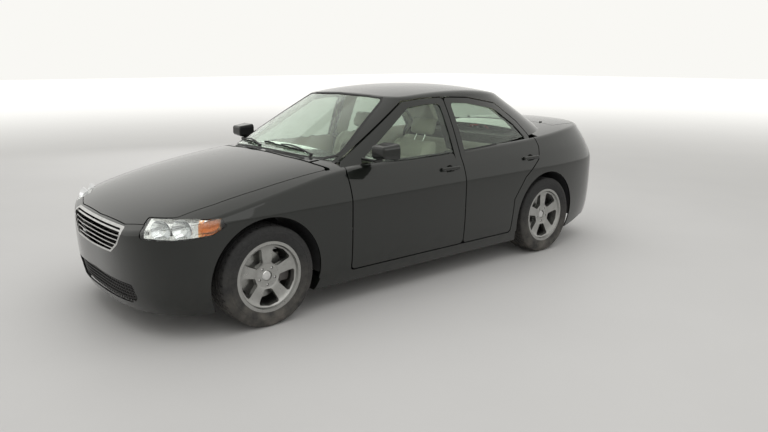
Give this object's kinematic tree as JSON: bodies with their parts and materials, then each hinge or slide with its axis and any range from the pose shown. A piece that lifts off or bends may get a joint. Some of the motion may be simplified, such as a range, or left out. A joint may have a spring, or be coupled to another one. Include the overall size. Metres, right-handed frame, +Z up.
{
  "type": "four-door saloon car",
  "caption": "Four-door saloon car with steered front wheels, opening doors, bonnet and boot lid, and a furnished cabin",
  "frame": {"origin": "on the ground, under the middle of the body", "axes": "+X forward, +Y to the car's left, +Z up"},
  "size_m": [4.5295, 2.118, 1.4402],
  "materials": {
    "paint": "gloss",
    "glass": "clear",
    "tyre": "matt",
    "alloy": "satin",
    "black_plastic": "matt",
    "lamp_clear": "clear",
    "lamp_red": "gloss",
    "seat_leather": "satin",
    "cabin_plastic": "matt",
    "underbody": "matt",
    "engine_alloy": "cast",
    "steel": "satin"
  },
  "bodies": {
    "body": {"front_fender_left": "paint", "side_frame_left": "paint", "front_seat_left": "seat_leather", "front_fender_right": "paint", "side_frame_right": "paint", "front_seat_right": "seat_leather", "roof_and_pillars": "paint", "rear_body": "paint", "cowl": "black_plastic", "front_bumper": "paint", "rear_bumper": "paint", "grille": "black_plastic", "windscreen": "glass", "rear_window": "glass", "headlamps": "lamp_clear", "tail_lamps": "lamp_red", "floor_pan": "underbody", "wheel_liners": "black_plastic", "front_structure": "paint", "engine_block": "engine_alloy", "exhaust": "steel", "front_subframe": "steel", "rear_axle": "steel", "springs": "steel", "rear_seat": "seat_leather", "dashboard": "cabin_plastic", "steering_wheel": "cabin_plastic"},
    "left_front_door": {"front_door_left": "paint", "front_door_glass_left": "glass", "door_mirror_left": "paint"},
    "left_rear_door": {"rear_door_left": "paint", "rear_door_glass_left": "glass"},
    "left_knuckle": {"steering_knuckle_left": "steel"},
    "front_left_wheel": {"front_rim_left": "alloy", "front_tyre_left": "tyre"},
    "rear_left_wheel": {"rear_rim_left": "alloy", "rear_tyre_left": "tyre"},
    "right_front_door": {"front_door_right": "paint", "front_door_glass_right": "glass", "door_mirror_right": "paint"},
    "right_rear_door": {"rear_door_right": "paint", "rear_door_glass_right": "glass"},
    "right_knuckle": {"steering_knuckle_right": "steel"},
    "front_right_wheel": {"front_rim_right": "alloy", "front_tyre_right": "tyre"},
    "rear_right_wheel": {"rear_rim_right": "alloy", "rear_tyre_right": "tyre"},
    "bonnet": {"bonnet": "paint"},
    "boot_lid": {"boot_lid": "paint"}
  },
  "joints": [
    {"name": "left_front_door_hinge", "type": "hinge", "parent": "body", "child": "left_front_door", "pos_m": [0.79232, 0.884, 0.6], "axis": [0, 0, -1], "range_deg": [0, 65]},
    {"name": "left_rear_door_hinge", "type": "hinge", "parent": "body", "child": "left_rear_door", "pos_m": [-0.2971, 0.884, 0.6], "axis": [0, 0, -1], "range_deg": [0, 68]},
    {"name": "left_steering", "type": "hinge", "parent": "body", "child": "left_knuckle", "pos_m": [1.4925, 0.736, 0.322], "axis": [0, 0, 1], "range_deg": [-32, 32]},
    {"name": "front_left_wheel_spin", "type": "hinge", "parent": "left_knuckle", "child": "front_left_wheel", "pos_m": [1.4925, 0.785, 0.322], "axis": [0, 1, 0], "continuous": true},
    {"name": "rear_left_wheel_spin", "type": "hinge", "parent": "body", "child": "rear_left_wheel", "pos_m": [-1.2475, 0.785, 0.322], "axis": [0, 1, 0], "continuous": true},
    {"name": "right_front_door_hinge", "type": "hinge", "parent": "body", "child": "right_front_door", "pos_m": [0.79232, -0.884, 0.6], "axis": [0, 0, 1], "range_deg": [0, 65]},
    {"name": "right_rear_door_hinge", "type": "hinge", "parent": "body", "child": "right_rear_door", "pos_m": [-0.2971, -0.884, 0.6], "axis": [0, 0, 1], "range_deg": [0, 68]},
    {"name": "right_steering", "type": "hinge", "parent": "body", "child": "right_knuckle", "pos_m": [1.4925, -0.736, 0.322], "axis": [0, 0, 1], "range_deg": [-32, 32]},
    {"name": "front_right_wheel_spin", "type": "hinge", "parent": "right_knuckle", "child": "front_right_wheel", "pos_m": [1.4925, -0.785, 0.322], "axis": [0, 1, 0], "continuous": true},
    {"name": "rear_right_wheel_spin", "type": "hinge", "parent": "body", "child": "rear_right_wheel", "pos_m": [-1.2475, -0.785, 0.322], "axis": [0, 1, 0], "continuous": true},
    {"name": "bonnet_hinge", "type": "hinge", "parent": "body", "child": "bonnet", "pos_m": [0.92258, 0, 0.9], "axis": [0, -1, 0], "range_deg": [0, 50]},
    {"name": "boot_lid_hinge", "type": "hinge", "parent": "body", "child": "boot_lid", "pos_m": [-1.55044, 0, 1.0296], "axis": [0, 1, 0], "range_deg": [0, 80]}
  ],
  "couplings": [
    {"joint": "right_steering", "follows": "left_steering", "ratio": 1}
  ]
}
